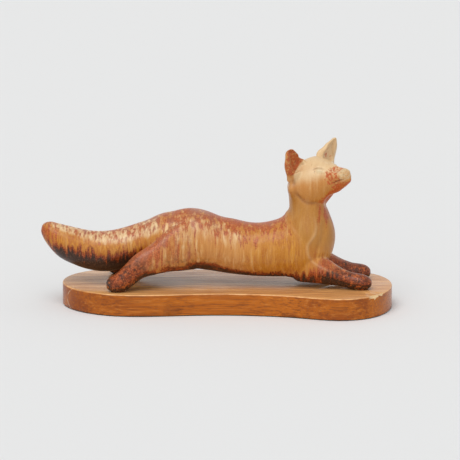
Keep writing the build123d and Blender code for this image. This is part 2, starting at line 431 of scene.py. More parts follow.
def draw(thing, corners, height, width, stain=0, taper=0.25):
    """Raises (or with a negative height, presses in) a line, and notes where glaze thins or pools."""
    points = points_of(thing)
    line = smooth_line(corners)
    near = np.all(points > line.min(axis=0) - 4 * width, axis=1)
    near &= np.all(points < line.max(axis=0) + 4 * width, axis=1)
    gap, along = distance_to(line, points[near])
    hold = np.exp(-((gap / width) ** 2)) * rise(0, taper, along) * rise(0, taper, 1 - along)
    points[near] += normals_of(thing)[near] * height * hold[:, None]
    set_points(thing, points)
    noted = thin_glaze if height > 0 else pooled_glaze
    noted[near] = np.maximum(noted[near], stain * hold)


print("points to draw on:", len(thin_glaze))

# %% Ridges and hollows of the neck and the forelegs
fox_middle = -7.5


def unchanged(corners):
    return corners


def mirrored(corners):
    return [(x, 2 * fox_middle - y, z) for x, y, z in corners]


def to_metres(corners):
    return [tuple(value * mm for value in corner) for corner in corners]


both_sides = (unchanged, mirrored)
neck_ridge = [
    (78, -26, 89), (77.5, -27.8, 84.5), (78.5, -29.3, 77.3), (77.3, -31.5, 70.3), (73.6, -32.6, 64.9),
    (71.2, -32.6, 60.5), (70.9, -32.9, 54.2), (73.1, -31.6, 48.8), (76.4, -31.2, 44.9), (82.5, -32, 40.8),
    (88.6, -32.5, 38.3), (94.7, -32.8, 36), (101, -32.8, 34.2),
]
leg_ridge = [
    (90, -18.5, 49), (91.5, -22, 45.5), (95, -26.3, 42), (101.2, -27.3, 38.6),
    (107.3, -27.3, 36.2), (114, -27.4, 34.4),
]
hollow = [
    (84.5, -28.5, 49), (88.5, -29.5, 43), (94.5, -30.3, 39.3), (100.8, -30.6, 36.6), (107, -30.8, 34.6),
]
neck_hollow = [
    (84.5, -24.5, 84), (85.5, -25.8, 76), (84.5, -28, 67), (81, -30, 59), (80.5, -30, 52),
]
pinches = [  # line, height, width and stain
    (neck_ridge, 0.6, 1.4, 0.3),
    (leg_ridge, 0.6, 1.3, 0.35),
    (hollow, -1.2, 2.2, 0.3),
    (neck_hollow, -1, 3.4, 0),
]
for change in both_sides:
    for corners, height, width, stain in pinches:
        draw(skin, to_metres(change(corners)), height * mm, width * mm, stain)
print("ridges and hollows drawn:", len(pinches) * len(both_sides))

# %% Eyes, mouth, nostrils and the grooves in the ears, in the head's frame
def in_head_line(corners, side):
    return [tuple(in_head(forward, side * left, up)) for forward, left, up in corners]


eye_line = [(11.2, 14.6, 10.8), (13.4, 12.2, 11.8), (15.8, 10.2, 11.8), (18.4, 8.7, 11), (21.6, 7.4, 9.2)]
lower_lid = [(14.4, 12.8, 9.6), (17.6, 10.6, 9.4), (20.6, 8.8, 8.6)]
lid_fold = [(14.6, 13.6, 7.4), (18.2, 11.3, 6.7), (21.4, 9, 6.4)]
brow_line = [(12.6, 12.6, 13), (15.4, 9.6, 13.6), (18.8, 7.2, 12.8), (22.2, 6, 11)]
mouth_line = [(27, 8.2, -3.8), (31, 7, -2.9), (34.6, 5.5, -2.2), (36.5, 3, -2.2), (37.2, 0, -2.2)]
nostril = [(36, 3.4, 2.2), (37, 2.2, 1.6), (37.2, 1.2, 2.6)]
pad_edge = [
    (32.2, 3.2, 5.8), (32.8, 4.4, 4.4), (33.4, 5.4, 2.4), (34.2, 5.8, 0.4),
    (35.8, 4.4, -0.6), (37, 0, -0.8),
]
ear_groove = [(3.6, 27.6, 29), (2.4, 26.4, 24), (0.8, 26.6, 18), (0.4, 28, 12)]
ear_groove_back = [(4.8, 31, 28), (3.4, 30.6, 22), (2.2, 30.4, 16)]
lip_line = [(27.5, 8, -5), (31, 7.2, -4.1), (34.6, 5.6, -3.4), (36.4, 3.2, -3.4), (37.2, 0, -3.4)]
cheek_crease = [
    (0.6, 27, 9), (-1.6, 25.6, 3.9), (-2.5, 25.4, -0.7), (-2.6, 24.4, -6.1), (-0.6, 22.6, -12.4),
    (3, 19.4, -16.8), (6.4, 14.6, -18.3), (9.4, 11.4, -17.6),
]
face_lines = [
    (cheek_crease, -0.6, 1.6, 0.5, 0.2),
    (brow_line, 0.6, 1.7, 0, 0.25),
    (lower_lid, 0.8, 1.1, 1, 0.25),
    (eye_line, -0.5, 0.65, 0.6, 0.3),
    (lid_fold, -0.15, 0.8, 0.1, 0.25),
    (mouth_line, -0.75, 0.55, 0.8, 0.12),
    (lip_line, 0.3, 0.6, 0.5, 0.15),
    (pad_edge, -0.4, 0.7, 0.35, 0.1),
    (nostril, -0.4, 0.6, 0.5, 0.25),
    (ear_groove, -0.9, 0.8, 0.45, 0.25),
    (ear_groove_back, -0.7, 0.7, 0.3, 0.25),
]
for side in (1, -1):
    for corners, height, width, stain, taper in face_lines:
        draw(skin, in_head_line(corners, side), height * mm, width * mm, stain, taper)
print("face lines drawn:", 2 * len(face_lines))

# %% [markdown]
# ## Which part each face belongs to
#
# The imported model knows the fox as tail, torso, neck, head, ears and legs. Each face of
# the skin is given to the nearest part, and a few rounds of voting among neighbours
# clear stray faces. The painting below uses this, and so does the cutting after it.

# %% Give every face to a part
voting_rounds = 8
face_count = len(skin.data.polygons)
point_count = len(skin.data.vertices)
centres = np.empty(face_count * 3)
skin.data.polygons.foreach_get("center", centres)
nearest_faces = [owner_tree.find_nearest(Vector(centre))[2] for centre in centres.reshape(-1, 3)]
owners = owner_of_face[nearest_faces]
corner_vertex = np.empty(len(skin.data.loops), dtype=int)
skin.data.loops.foreach_get("vertex_index", corner_vertex)
face_size = np.empty(face_count, dtype=int)
skin.data.polygons.foreach_get("loop_total", face_size)
corner_face = np.repeat(np.arange(face_count), face_size)
for _ in range(voting_rounds):
    votes = np.zeros((point_count, len(clay_names)))
    np.add.at(votes, (corner_vertex, owners[corner_face]), 1)
    tally = np.zeros((face_count, len(clay_names)))
    np.add.at(tally, corner_face, votes[corner_vertex])
    owners = tally.argmax(axis=1)
print("faces by part:", dict(zip(clay_names, np.bincount(owners).tolist())))


# %% Soft membership of a part
def soft_share(names, passes=24):
    """How much a point belongs to these parts, blurred over the joints."""
    wanted = np.isin(owners, [clay_names.index(name) for name in names]).astype(float)
    around = np.bincount(corner_vertex, minlength=point_count)
    for _ in range(passes):
        at_points = np.bincount(corner_vertex, wanted[corner_face], point_count) / around
        wanted = np.bincount(corner_face, at_points[corner_vertex], face_count) / face_size
    return at_points


ears = ["right_ear", "left_ear"]
hind_legs = ["right_hind_leg", "left_hind_leg"]
forelegs = ["right_foreleg", "left_foreleg"]
on_tail = soft_share(["tail"])
on_neck = soft_share(["neck"])
on_head = soft_share(["head", *ears])
on_ears = soft_share(ears, 8)
hind_leg = soft_share(hind_legs, 16)
haunch = soft_share(hind_legs, 110)
fore_leg = soft_share(forelegs, 16)
print("points on the head:", int((on_head > 0.5).sum()))

# %% [markdown]
# ## Painting where the glazes went
#
# Several glazes meet on the fox. An amber one ran down all over it, with cream where it
# lies thick and ochre where it is deeper. A red one breaks along the spine, on the
# haunches, the paws and the jaw. A dark one pools on the undersides and reaches up in
# points. Ash grey lies by the eyes and on the nose, and soot speckles the paws. Each
# becomes an attribute: a number on every point that says how much of it lies there.
# Two more say where the streaks are calm and where they turn to blots. A mask is the
# most of several patches, each the product of a few fades in plain millimetres.

# %% How high each point lies between the belly and the back
points = points_of(skin)
normals = normals_of(skin)
facing_up = normals[:, 2]
x, y, z = (points / mm).T
forward, left, up = local_to_head(points).T


def along_body(table):
    """Reads a table of places along the body and values there, at every point."""
    return np.interp(x, *zip(*table))


def most(*patches):
    return np.maximum.reduce(patches)


spine = [(-166, 77), (-158, 80), (-140, 76.5), (-120, 72), (-100, 71), (-86, 74), (-70, 80), (-55, 85.5),
         (-40, 87.5), (-24, 87), (-10, 82), (6, 77), (24, 74.5), (40, 76), (52, 84), (60, 92)]
underside = [(-166, 70), (-158, 58), (-146, 48), (-130, 38), (-110, 32), (-90, 31), (-70, 35), (-55, 42),
             (-30, 38), (0, 34), (30, 30), (60, 28), (75, 30), (90, 36)]
spine_z = along_body(spine)
underside_z = along_body(underside)
level = np.clip((z - underside_z) / (spine_z - underside_z), 0, 1.1)
print("points above the middle of the body:", int((level > 0.5).sum()))

# %% Where the dark glaze pools
dark_start = [(-166, -0.1), (-154, 0.06), (-147, 0.27), (-138, 0.39), (-130, 0.44), (-90, 0.46), (-70, 0.4),
              (-58, 0.2), (-45, 0.11), (-32, 0.1), (-20, 0.13), (-8, 0.13), (2, 0.08), (14, 0.07), (34, 0.08),
              (44, 0.1), (60, 0.07), (90, 0.03)]
dark_reach = np.interp(x, (-70, -50), (0.5, 0.2))
pool = 0.5 + (along_body(dark_start) - level) / dark_reach
pool *= 1 - rise(0.3, 0.7, on_head + on_neck * rise(50, 60, z))
pool *= 1 - rise(0.35, 0.8, haunch) * rise(-28, -46, x)
turned_down = rise(-0.05, -0.6, facing_up) * rise(-58, -76, x) + 0.8 * rise(-0.5, -0.85, facing_up)
under_leg = 0.9 * hind_leg * np.minimum(turned_down, 1)
hind_paw_tip = 0.9 * hind_leg * rise(-99, -105, x) * rise(37, 31, z)
shin_edge = 0.5 * hind_leg * rise(-64, -80, x) * rise(50, 40, z)
thigh_edge = 0.62 * haunch * rise(46, 38, z) * rise(-70, -50, x)
elbow = 0.5 * fore_leg * rise(38, 28, z) * rise(72, 60, x)
under_forepaw = 0.9 * fore_leg * rise(0.25, -0.35, facing_up) * rise(72, 88, x) * rise(38, 33, z)
dark = most(pool, under_leg, hind_paw_tip, shin_edge, thigh_edge, elbow, under_forepaw)
print("points under the dark glaze:", int((dark > 0.5).sum()))

# %% Where the red glaze breaks on the body and the legs
red_start = [(-166, 0.85), (-150, 0.88), (-140, 0.82), (-100, 0.84), (-70, 0.82), (-45, 0.78), (-10, 0.76),
             (8, 0.8), (24, 0.88), (56, 0.94)]
back = 0.7 * rise(-0.43, 0.19, level - along_body(red_start)) + 0.26 * rise(0.92, 1.04, level)
back *= (1 - on_neck) * (1 - on_head)
tail_end = 0.72 * rise(-138, -160, x) * rise(1.02, 0.78, level)
shoulder = 0.56 * np.exp(-(((x - 49) / 8) ** 2) - ((z - 74) / 14) ** 2)

haunch_ridge = [(-44, -8, 86), (-52, -16, 79), (-60, -25, 69), (-68, -32, 60), (-82, -37, 50), (-98, -39, 38)]
from_ridge = np.full(len(points), np.inf)
for change in both_sides:
    gap, along = distance_to(smooth_line(to_metres(change(haunch_ridge))), points)
    from_ridge = np.minimum(from_ridge, gap / mm)
on_ridge = rise(20, 4, from_ridge)
thigh = haunch * (0.46 + 0.5 * on_ridge)
shin = hind_leg * rise(-58, -84, x) * rise(64, 50, z)
wrist = fore_leg * rise(-11, 8, x - 79 - 1.1 * (z - 41))
throat = 0.7 * rise(77, 81, x) * rise(66, 87, z) * (1 - on_head)
breast = 0.34 * rise(88, 95, x) * rise(48, 56, z) * on_neck
body_red = most(back, tail_end, shoulder, thigh, 0.88 * shin, wrist, throat, breast)
print("points under the red glaze:", int((body_red > 0.5).sum()))

# %% Where the red glaze breaks on the head
jaw_line = np.interp(forward, (9, 14, 19, 24, 28, 38), (17.4, 14.2, 11.2, 7.6, 5, 4.2))
jaw = rise(-1.5, 1.5, -up - jaw_line) * rise(6, 10, forward)
facing_down = rise(0.3, 0.7, -(normals @ np.array(head_crown)))
under_chin = rise(-14, -5, forward) * rise(-8, -12, up) * rise(10, 6, np.abs(left))
far_chin = rise(-3, 2, left) * rise(-8, -12, up) * rise(16, 9, forward) * rise(-12, -3, forward)
jaw = most(jaw, on_head * facing_down * under_chin, on_head * far_chin)

past_pad_edge = forward - 33.2 - 0.32 * (5 - up)
snout = rise(20, 25, forward) * rise(0.9, -0.9, past_pad_edge)
snout *= rise(-6, -3.5, up) * rise(11, 8, up)

near_side = rise(-13, -16, y)
before_crown = rise(-0.9, 0.9, 58.7 + 0.77 * np.maximum(z - 123.8, 0) - x)
near_cup = near_side * rise(0.05, 0.3, -normals[:, 1]) * before_crown
near_cup *= rise(121.5, 124.5, z) * (0.6 + 0.4 * rise(52.6, 54.4, x))
far_ear_root = np.exp(-(((points / mm - (88, 8, 134)) ** 2).sum(axis=1)) / 40)
red = most(body_red, 0.88 * jaw, 0.62 * snout, 0.84 * near_cup, 0.44 * far_ear_root)
print("with the head:", int((red > 0.5).sum()))

# %% Where the cream lies thick
off_head = (1 - on_neck) * (1 - on_head)
tail_cream = 0.74 * rise(0.58, 0.78, level) * on_tail * rise(-164, -150, x)
flank_cream = 0.5 * rise(-70, -40, x) * rise(30, -6, x) * rise(0.3, 0.8, level) * (1 - on_tail)
thigh_cream = 0.5 * haunch * rise(52, 70, z) * (1 - on_ridge)
body_cream = most(tail_cream, flank_cream, thigh_cream) * (1 - 0.5 * rise(0.86, 1, level) * off_head)
head_cream = on_head * (0.24 + 0.52 * rise(-3, 9, up) * (1 - 0.2 * rise(30, 35, forward)))
own_ear = on_ears * np.maximum(1 - near_side, before_crown)
ear_cream = np.where(near_side > 0.5, 0.36, 0.78)
cream = most(body_cream, head_cream) * (1 - own_ear) + ear_cream * own_ear
print("points under the cream:", int((cream > 0.5).sum()))

# %% Where the amber is deeper, where it is calm, and where soot and ash lie
chest_ochre = rise(4, 36, x) * rise(84, 66, z) * (1 - on_head) * (1 - 0.5 * rise(68, 78, x))
tail_ochre = on_tail * rise(0.8, 0.6, level)
cheek_ochre = 0.5 * on_head * rise(0, -12, up)
neck_ochre = 0.72 * on_neck * (1 - on_head)
ochre = most(chest_ochre, tail_ochre, cheek_ochre, neck_ochre)

calm_neck = 0.95 * soft_share(["neck"], 160) * rise(48, 66, z)
calm = most(soft_share(["head", *ears], 80), calm_neck)

belly_speckle = 0.6 * rise(0.32, 0.1, level) * (1 - on_tail) * rise(-60, -50, x) * rise(20, 0, x)
speckle = most(shin * rise(58, 42, z), wrist * rise(92, 102, x), 0.32 * near_cup, belly_speckle)

from_lid = np.stack([forward - 17.5, np.abs(left) - 10.6, up - 9.2], axis=1) / (1.5, 1, 0.7)
lid_ash = 0.75 * np.exp(-((np.linalg.norm(from_lid, axis=1) / 3.2) ** 2))
nose_ash = 0.5 * rise(-0.7, 0.7, past_pad_edge) * rise(-3.4, -2.2, up)
ash = on_head * most(lid_ash, nose_ash)
print("points with soot:", int((speckle > 0.5).sum()), "with ash:", int((ash > 0.3).sum()))

# %% Write the masks on the skin
painted = {
    "dark": dark, "red": red, "cream": cream, "ochre": ochre, "speckle": speckle, "blotchy": on_head,
    "ash": ash, "thin": thin_glaze, "pooled": pooled_glaze, "calm": calm,
}
for name, values in painted.items():
    attribute = skin.data.attributes.new(name, "FLOAT", "POINT")
    attribute.data.foreach_set("value", np.clip(values, 0, 1).astype(np.float32))
print("masks:", ", ".join(painted))

# %% [markdown]
# ## Back into named pieces
#
# The skin is cut along the joints of the parts again. The direction of the surface is
# kept from the whole skin, so the light runs over the joints unbroken, and every cut is
# turned inwards and closed under the surface, where it never shows.

# %% Note each face's part and each point's direction
owner_attribute = skin.data.attributes.new("owner", "INT", "FACE")
owner_attribute.data.foreach_set("value", owners.astype(np.int32))
direction = skin.data.attributes.new("direction", "FLOAT_VECTOR", "POINT")
direction.data.foreach_set("vector", normals_of(skin).reshape(-1).astype(np.float32))
print("faces to share out:", len(owners))


# %% Cut out a piece, and close its cut
def cut_out(index, name):
    edit(skin, "DESELECT")
    bpy.ops.mesh.select_mode(type="FACE")
    done()
    owner = np.empty(len(skin.data.polygons), dtype=np.int32)
    skin.data.attributes["owner"].data.foreach_get("value", owner)
    skin.data.polygons.foreach_set("select", owner == index)
    pick(skin)
    bpy.ops.object.mode_set(mode="EDIT")
    bpy.ops.mesh.separate(type="SELECTED")
    done()
    piece = [thing for thing in bpy.context.selected_objects if thing is not skin][0]
    piece.name = "glazed_" + name
    return piece


def read_direction(piece):
    kept = np.empty(len(piece.data.vertices) * 3, dtype=np.float32)
    piece.data.attributes["direction"].data.foreach_get("vector", kept)
    return kept.reshape(-1, 3)


def close_cut(piece, depth=3 * mm):
    """Turns the open edge inwards, under the surface, and fills it there."""
    edit(piece, "DESELECT")
    bpy.ops.mesh.select_mode(type="VERT")
    bpy.ops.mesh.select_non_manifold()
    bpy.ops.mesh.extrude_edges_move()
    done()
    inner = np.zeros(len(piece.data.vertices), dtype=bool)
    piece.data.vertices.foreach_get("select", inner)
    points = points_of(piece)
    points[inner] -= read_direction(piece)[inner] * depth
    set_points(piece, points)
    edit(piece)
    bpy.ops.mesh.fill_holes(sides=0)
    done()
    piece.data.shade_smooth()
    piece.data.normals_split_custom_set_from_vertices(read_direction(piece).tolist())


# %% Make the ten glazed pieces
fox_pieces = {}
for index, name in enumerate(clay_names[:-1]):
    fox_pieces[name] = cut_out(index, name)
skin.name = "glazed_" + clay_names[-1]
fox_pieces[clay_names[-1]] = skin
for name, piece in fox_pieces.items():
    close_cut(piece)
    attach(piece, "root")
    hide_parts(name)
    print(piece.name, len(piece.data.polygons))

# %% [markdown]
# ## Node helpers
#
# Materials are built from nodes. These helpers add a node, feed its inputs and hand on
# its output in one line, so that a material reads like a recipe. Colours are written as
# they look on a screen, from 0 to 255, and turned into the linear values Blender uses.

# %% Start a material and read places and masks
def colour(red, green, blue):
    """A screen colour in linear light, by the usual screen curve."""
    linear = []
    for shade in (red, green, blue):
        share = shade / 255
        linear.append(share / 12.92 if share <= 0.04045 else ((share + 0.055) / 1.055) ** 2.4)
    return (*linear, 1)


def new_material(name):
    material = bpy.data.materials.new(name)
    material.use_nodes = True
    tree = material.node_tree
    return material, tree, tree.nodes["Principled BSDF"]


def object_place(tree):
    return tree.nodes.new("ShaderNodeTexCoord").outputs["Object"]


def mask(tree, name):
    node = tree.nodes.new("ShaderNodeAttribute")
    node.attribute_name = name
    return node.outputs["Fac"]


def dress(thing, material):
    thing.data.materials.clear()
    thing.data.materials.append(material)


print("a middle grey in linear light:", colour(128, 128, 128))


# %% Feed a node, stretch a place and add noise
def feed(tree, socket, value):
    """Links a value that comes from another node, or sets a plain one."""
    if isinstance(value, bpy.types.NodeSocket):
        tree.links.new(value, socket)
    else:
        socket.default_value = value


def feed_named(tree, node, **values):
    for name, value in values.items():
        feed(tree, node.inputs[name.replace("_", " ")], value)


def stretched(tree, where, scale, shift=(0, 0, 0)):
    node = tree.nodes.new("ShaderNodeMapping")
    feed_named(tree, node, Vector=where, Scale=scale, Location=shift)
    return node.outputs["Vector"]


def noise(tree, where, scale, detail=3, roughness=0.55, distortion=0):
    node = tree.nodes.new("ShaderNodeTexNoise")
    feed_named(tree, node, Vector=where, Scale=scale, Detail=detail)
    feed_named(tree, node, Roughness=roughness, Distortion=distortion)
    return node.outputs["Fac"]


def bump(tree, height, strength, distance):
    node = tree.nodes.new("ShaderNodeBump")
    feed_named(tree, node, Height=height, Strength=strength, Distance=distance)
    return node.outputs["Normal"]


# %% Sums, fades and blends
def sums(tree, operation, *values):
    node = tree.nodes.new("ShaderNodeMath")
    node.operation = operation
    for socket, value in zip(node.inputs, values):
        feed(tree, socket, value)
    return node.outputs[0]


def times(tree, first, second):
    return sums(tree, "MULTIPLY", first, second)


def plus(tree, first, second):
    return sums(tree, "ADD", first, second)


def times_plus(tree, first, second, third):
    return sums(tree, "MULTIPLY_ADD", first, second, third)


def rest_of(tree, share):
    return sums(tree, "SUBTRACT", 1, share)


def step_up(tree, value, low, high, out_low=0, out_high=1):
    """The same fade as rise above, made of a node, between any two values."""
    node = tree.nodes.new("ShaderNodeMapRange")
    node.interpolation_type = "SMOOTHSTEP"
    names = ("Value", "From Min", "From Max", "To Min", "To Max")
    for name, setting in zip(names, (value, low, high, out_low, out_high)):
        feed(tree, node.inputs[name], setting)
    return node.outputs["Result"]


def blend(tree, share, first, second):
    """The first colour where the share is 0, the second where it is 1."""
    node = tree.nodes.new("ShaderNodeMix")
    node.data_type = "RGBA"
    feed(tree, node.inputs["Factor"], share)
    colours = [socket for socket in node.inputs if socket.type == "RGBA"]
    feed(tree, colours[0], first)
    feed(tree, colours[1], second)
    return [socket for socket in node.outputs if socket.type == "RGBA"][0]


def layers(tree, ground, *coats):
    """Lays coats over a ground, one after the other. Each is a share and a colour."""
    for share, coat in coats:
        ground = blend(tree, share, ground, coat)
    return ground


# %% [markdown]
# ## The running glaze
#
# Glaze runs down while it is molten, so its noise is squeezed along Z, and a little
# along Y, the way it runs off the back: a pattern that changes fast across and slowly
# down reads as streaks. A slow noise bends the streaks. The painted masks decide where
# each glaze lies, and the streaks give every mask a ragged edge, which makes the drips.

# %% The ways in which the glaze runs, blots and speckles
glaze, tree, finish = new_material("running_glaze")
laid = {name: mask(tree, name) for name in painted}
place = object_place(tree)
bend = (4 * mm, 4 * mm, 4 * mm)
wave = tree.nodes.new("ShaderNodeTexNoise")
feed_named(tree, wave, Vector=place, Scale=45)
bending = tree.nodes.new("ShaderNodeVectorMath")
bending.operation = "MULTIPLY_ADD"
for socket, value in zip(bending.inputs, (wave.outputs["Color"], bend, place)):
    feed(tree, socket, value)
bent = bending.outputs[0]

streak = (1, 0.4, 0.08)
wide_streak = (1, 0.6, 0.16)
fine_streak = (1, 0.5, 0.06)
runs = noise(tree, stretched(tree, bent, streak), 350, 4, 0.6)
other_runs = noise(tree, stretched(tree, bent, streak, (0.3, 0.1, 0)), 300, 4, 0.6)
wide_runs = noise(tree, stretched(tree, bent, wide_streak, (0.7, 0.1, 0)), 110, 3, 0.5)
fine_runs = noise(tree, stretched(tree, bent, fine_streak, (0.1, 0.5, 0)), 1100, 2, 0.6)
mottle = noise(tree, bent, 210, 4, 0.6)
blotches = noise(tree, bent, 430, 3, 0.6)
grains = noise(tree, place, 900, 4, 0.7)
print("glaze nodes so far:", len(tree.nodes))

# %% The amber ground, with soft wide runs and hair-fine ones
uncalm = times_plus(tree, laid["calm"], -0.7, 1)
lively = times(tree, uncalm, step_up(tree, noise(tree, bent, 60, 2), 0.42, 0.6, 0.4, 1))
amber_runs = times_plus(tree, runs, 0.55, times(tree, fine_runs, 0.45))
amber_runs = sums(tree, "SUBTRACT", step_up(tree, amber_runs, 0.36, 0.64), 0.5)
amber_share = times_plus(tree, amber_runs, lively, 0.5)
amber = blend(tree, amber_share, colour(178, 108, 44), colour(212, 152, 82))
deep_amber = blend(tree, amber_share, colour(172, 100, 24), colour(206, 142, 46))

honey = colour(214, 162, 100)
straw = colour(228, 186, 128)
rust = colour(170, 92, 44)
bright = times(tree, lively, times_plus(tree, laid["ochre"], -0.65, 1))
honey_share = times(tree, times(tree, step_up(tree, wide_runs, 0.42, 0.66), 0.5), bright)
straw_share = times(tree, times(tree, step_up(tree, other_runs, 0.5, 0.66), 0.72), bright)
rust_share = times(tree, times(tree, step_up(tree, other_runs, 0.47, 0.34), 0.5), lively)
body_colour = blend(tree, laid["ochre"], amber, deep_amber)
body_colour = layers(tree, body_colour, (honey_share, honey), (straw_share, straw), (rust_share, rust))
print("with the amber:", len(tree.nodes))

# %% A greyer wash down the neck, and cream where the glaze lies thick
neck_wash = colour(150, 118, 68)
thick_cream = colour(232, 206, 162)
unblotted = rest_of(tree, laid["blotchy"])
washed = times(tree, times(tree, laid["calm"], unblotted), 0.3)
cream_runs = times_plus(tree, other_runs, 1.7, times_plus(tree, mottle, 0.5, -1.1))
cream_edge = times_plus(tree, cream_runs, lively, laid["cream"])
cream_share = times(tree, step_up(tree, cream_edge, 0.2, 0.95), 0.85)
body_colour = layers(tree, body_colour, (washed, neck_wash), (cream_share, thick_cream))
print("with the cream:", len(tree.nodes))

# %% Red, in streaks on the body and in blots on the head
runny = rest_of(tree, laid["speckle"])
red_runs = times(tree, times_plus(tree, runs, 3, -1.5), times(tree, runny, unblotted))
red_blots = times(tree, times_plus(tree, blotches, 3, -1.5), laid["blotchy"])
red_edge = times_plus(tree, mottle, 0.8, times_plus(tree, red_blots, 1, -0.4))
red_edge = plus(tree, plus(tree, laid["red"], red_edge), red_runs)
red_share = times(tree, step_up(tree, red_edge, 0.28, 0.86), step_up(tree, laid["red"], 0.02, 0.2))

head_red = colour(204, 88, 34)
paw_red = colour(112, 40, 14)
dusty_red = colour(150, 88, 70)
dusty = times(tree, step_up(tree, wide_runs, 0.48, 0.66, 0, 0.6), runny)
dusty = times(tree, dusty, rest_of(tree, laid["calm"]))
red_colour = layers(
    tree, blend(tree, step_up(tree, grains, 0.36, 0.64), colour(138, 56, 26), colour(190, 92, 46)),
    (times(tree, laid["blotchy"], 0.5), head_red),
    (times(tree, laid["speckle"], 0.5), paw_red),
    (dusty, dusty_red),
)
body_colour = blend(tree, times(tree, red_share, 0.88), body_colour, red_colour)
print("with the red:", len(tree.nodes))

# %% Dark, in pools with a brown fringe and drips
drips = times_plus(tree, runs, 1.7, times_plus(tree, fine_runs, 0.5, -1.1))
dark_edge = plus(tree, laid["dark"], times(tree, drips, runny))
brown = blend(tree, step_up(tree, grains, 0.4, 0.6), colour(102, 40, 12), colour(168, 77, 31))
pool_colour = blend(tree, step_up(tree, grains, 0.4, 0.7), colour(54, 34, 25), colour(78, 51, 37))
fringe_share = step_up(tree, dark_edge, 0.3, 0.56)
pool_share = step_up(tree, dark_edge, 0.54, 0.84)
body_colour = layers(tree, body_colour, (fringe_share, brown), (pool_share, pool_colour))
print("with the dark:", len(tree.nodes))

# %% Soot and rusty flecks on the paws, ash on the face
soot_black = colour(56, 28, 15)
rusty_fleck = colour(204, 108, 48)
ash_grey = colour(214, 202, 164)
soot = noise(tree, stretched(tree, place, (1, 1, 1), (0.7, 0.2, 0.4)), 230, 6, 0.7)
soot_share = times(tree, times(tree, step_up(tree, soot, 0.46, 0.6), laid["speckle"]), 0.78)
fleck = noise(tree, place, 380, 5, 0.7)
fleck_share = times(tree, times(tree, step_up(tree, fleck, 0.52, 0.64), laid["speckle"]), 0.72)
ash_share = times(tree, laid["ash"], step_up(tree, blotches, 0.38, 0.6, 0.25, 1))
body_colour = layers(
    tree, body_colour, (soot_share, soot_black), (fleck_share, rusty_fleck), (ash_share, ash_grey),
)
print("with soot and ash:", len(tree.nodes))

# %% Pale where it breaks over a ridge, deep where it fills a line, and grainy all over
ridge_pale = colour(228, 202, 164)
groove_brown = colour(120, 70, 30)
pale_grain = colour(236, 190, 140)
brown_grain = colour(120, 66, 36)
body_colour = layers(
    tree, body_colour,
    (times(tree, laid["thin"], 0.6), ridge_pale),
    (laid["pooled"], groove_brown),
    (step_up(tree, grains, 0.52, 0.72, 0, 0.12), pale_grain),
    (step_up(tree, grains, 0.46, 0.3, 0, 0.16), brown_grain),
)
print("with all its colours:", len(tree.nodes))

# %% The shine and the fine relief, and the glaze goes on
relief = times_plus(tree, runs, 0.35, times(tree, grains, 0.4))
feed_named(
    tree, finish,
    Base_Color=body_colour,
    Roughness=step_up(tree, mottle, 0.3, 0.7, 0.28, 0.42),
    Normal=bump(tree, relief, 0.16, 0.2 * mm),
    Coat_Weight=0.09,
    Coat_Roughness=0.15,
    Specular_IOR_Level=0.26,
)
for piece in fox_pieces.values():
    dress(piece, glaze)
print("glazed pieces:", len(fox_pieces))

# %% [markdown]
# ## The board
#
# The board is a plank of warm, varnished hardwood, with its grain along its length. The
# packed board has the right outline, so a welded copy of it is used, and a chip is cut
# from its front right edge with two small faceted stones, as a knock would leave it. A
# third stone takes a small nick further left.

# %% Copy the board and knock chips out of its edge
board = copy_of("base_board")
board.name = "chipped_board"
chips = [  # the stone's place, its half sizes and how far it is turned
    ((131, -53.4, 20.8), (7.2, 3.4, 3.6), 38),
    ((137.4, -45.8, 20.8), (5.6, 3, 3), 55),
    ((-40, -49.6, 20.5), (2.2, 0.9, 0.8), 0),
]
for place, half_size, turned in chips:
    bpy.ops.object.select_all(action="DESELECT")
    bpy.ops.mesh.primitive_ico_sphere_add(subdivisions=2, radius=1 * mm, location=Vector(place) * mm)
    stone = bpy.context.object
    stone.scale = half_size
    stone.rotation_euler = (0, 0, math.radians(turned))
    bpy.ops.object.transform_apply(location=True, rotation=True, scale=True)
    apply_modifier(board, "BOOLEAN", operation="DIFFERENCE", object=stone, solver="EXACT")
    bpy.data.objects.remove(stone)
print("board faces:", len(board.data.polygons))

# %% Mark the bare wood in the chips, and hand the board over
just_past_stone = 1.02
largest_chip_face = 4 * mm * mm
smooth_angle = math.radians(35)
bare = board.data.attributes.new("bare", "FLOAT", "FACE")
for face in board.data.polygons:
    nearest_stone = math.inf
    for place, half_size, turned in chips:
        offset = Matrix.Rotation(math.radians(-turned), 3, "Z") @ (face.center / mm - Vector(place))
        nearest_stone = min(nearest_stone, math.hypot(*(o / r for o, r in zip(offset, half_size))))
    in_chip = nearest_stone < just_past_stone and face.area < largest_chip_face
    bare.data[face.index].value = float(in_chip)
pick(board)
bpy.ops.object.shade_smooth_by_angle(angle=smooth_angle)
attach(board, "root")
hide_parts("base_board")
print("bare chip faces:", sum(value.value > 0.5 for value in bare.data))
